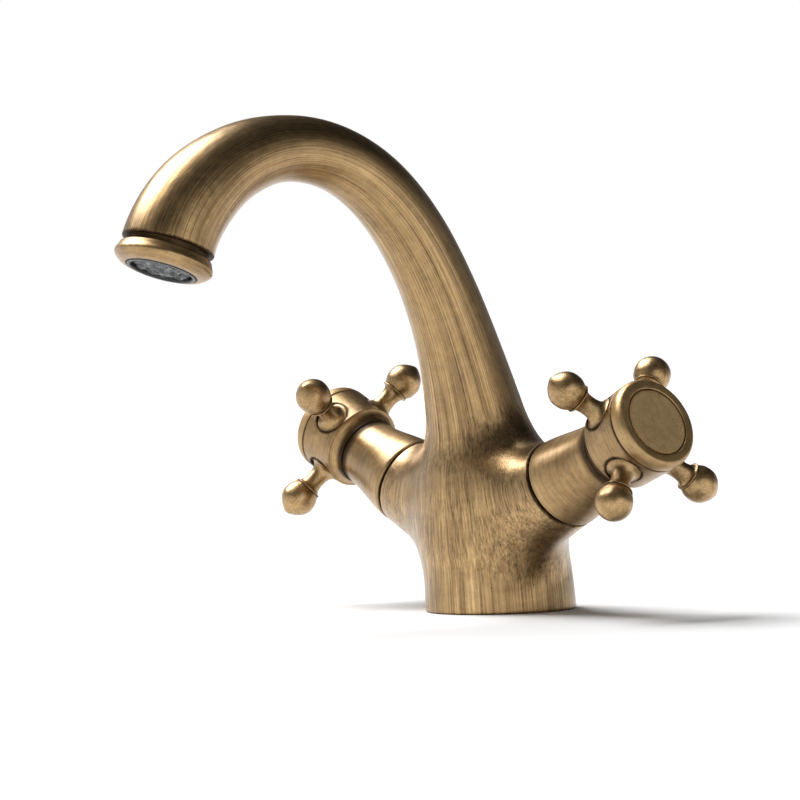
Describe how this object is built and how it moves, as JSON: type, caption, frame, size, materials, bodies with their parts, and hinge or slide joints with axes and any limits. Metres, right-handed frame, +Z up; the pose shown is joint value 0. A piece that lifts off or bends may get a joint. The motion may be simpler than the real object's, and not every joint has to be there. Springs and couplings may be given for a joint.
{
  "type": "bathroom mixer faucet",
  "caption": "Deck-mounted basin mixer in antique brass: swan-neck spout, flared foot, two tilted quarter-turn cross handles and a screw-in aerator.",
  "frame": {"origin": "centre of the foot's underside, on the deck", "axes": "+Z up, the spout reaches towards -Y, the handles point to +X (right) and -X (left)"},
  "size_m": [0.1536, 0.1489, 0.14],
  "materials": {
    "body_brass": "antique brushed brass, streaked along the neck, darker in its hollows",
    "bonnet_brass": "antique brass, satin",
    "handle_brass": "antique brass, satin, darker in its creases",
    "button_brass": "antique brass, matt, plain face",
    "aerator_brass": "antique brass, satin",
    "valve_brass": "turned brass",
    "screen_steel": "stainless screen",
    "steel": "stainless",
    "insert_plastic": "moulded plastic",
    "ceramic": "polished white ceramic",
    "black_rubber": "black rubber"
  },
  "bodies": {
    "faucet_body": {"faucet_body": "body_brass", "foot_gasket": "black_rubber", "aerator_ring": "aerator_brass", "aerator_screen": "screen_steel", "aerator_insert": "insert_plastic", "aerator_filter": "screen_steel", "aerator_gasket": "black_rubber", "right_seat_seal": "black_rubber", "right_fixed_disc": "ceramic", "right_cartridge": "valve_brass", "right_flange_gasket": "black_rubber", "right_bonnet": "bonnet_brass", "left_seat_seal": "black_rubber", "left_fixed_disc": "ceramic", "left_cartridge": "valve_brass", "left_flange_gasket": "black_rubber", "left_bonnet": "bonnet_brass"},
    "right_handle": {"right_moving_disc": "ceramic", "right_stem": "valve_brass", "right_stem_seals": "black_rubber", "right_stem_clip": "steel", "right_hub": "handle_brass", "right_arm_1": "handle_brass", "right_arm_2": "handle_brass", "right_arm_3": "handle_brass", "right_arm_4": "handle_brass", "right_hub_screw": "steel", "right_cap": "handle_brass", "right_button": "button_brass"},
    "left_handle": {"left_moving_disc": "ceramic", "left_stem": "valve_brass", "left_stem_seals": "black_rubber", "left_stem_clip": "steel", "left_hub": "handle_brass", "left_arm_1": "handle_brass", "left_arm_2": "handle_brass", "left_arm_3": "handle_brass", "left_arm_4": "handle_brass", "left_hub_screw": "steel", "left_cap": "handle_brass", "left_button": "button_brass"}
  },
  "joints": [
    {"name": "right_handle_turn", "type": "hinge", "parent": "faucet_body", "child": "right_handle", "pos_m": [0, -0.004, 0.0215], "axis": [0.9135, 0, 0.4067], "range_deg": [-90, 0]},
    {"name": "left_handle_turn", "type": "hinge", "parent": "faucet_body", "child": "left_handle", "pos_m": [0, -0.004, 0.0215], "axis": [-0.9135, 0, 0.4067], "range_deg": [0, 90]}
  ]
}
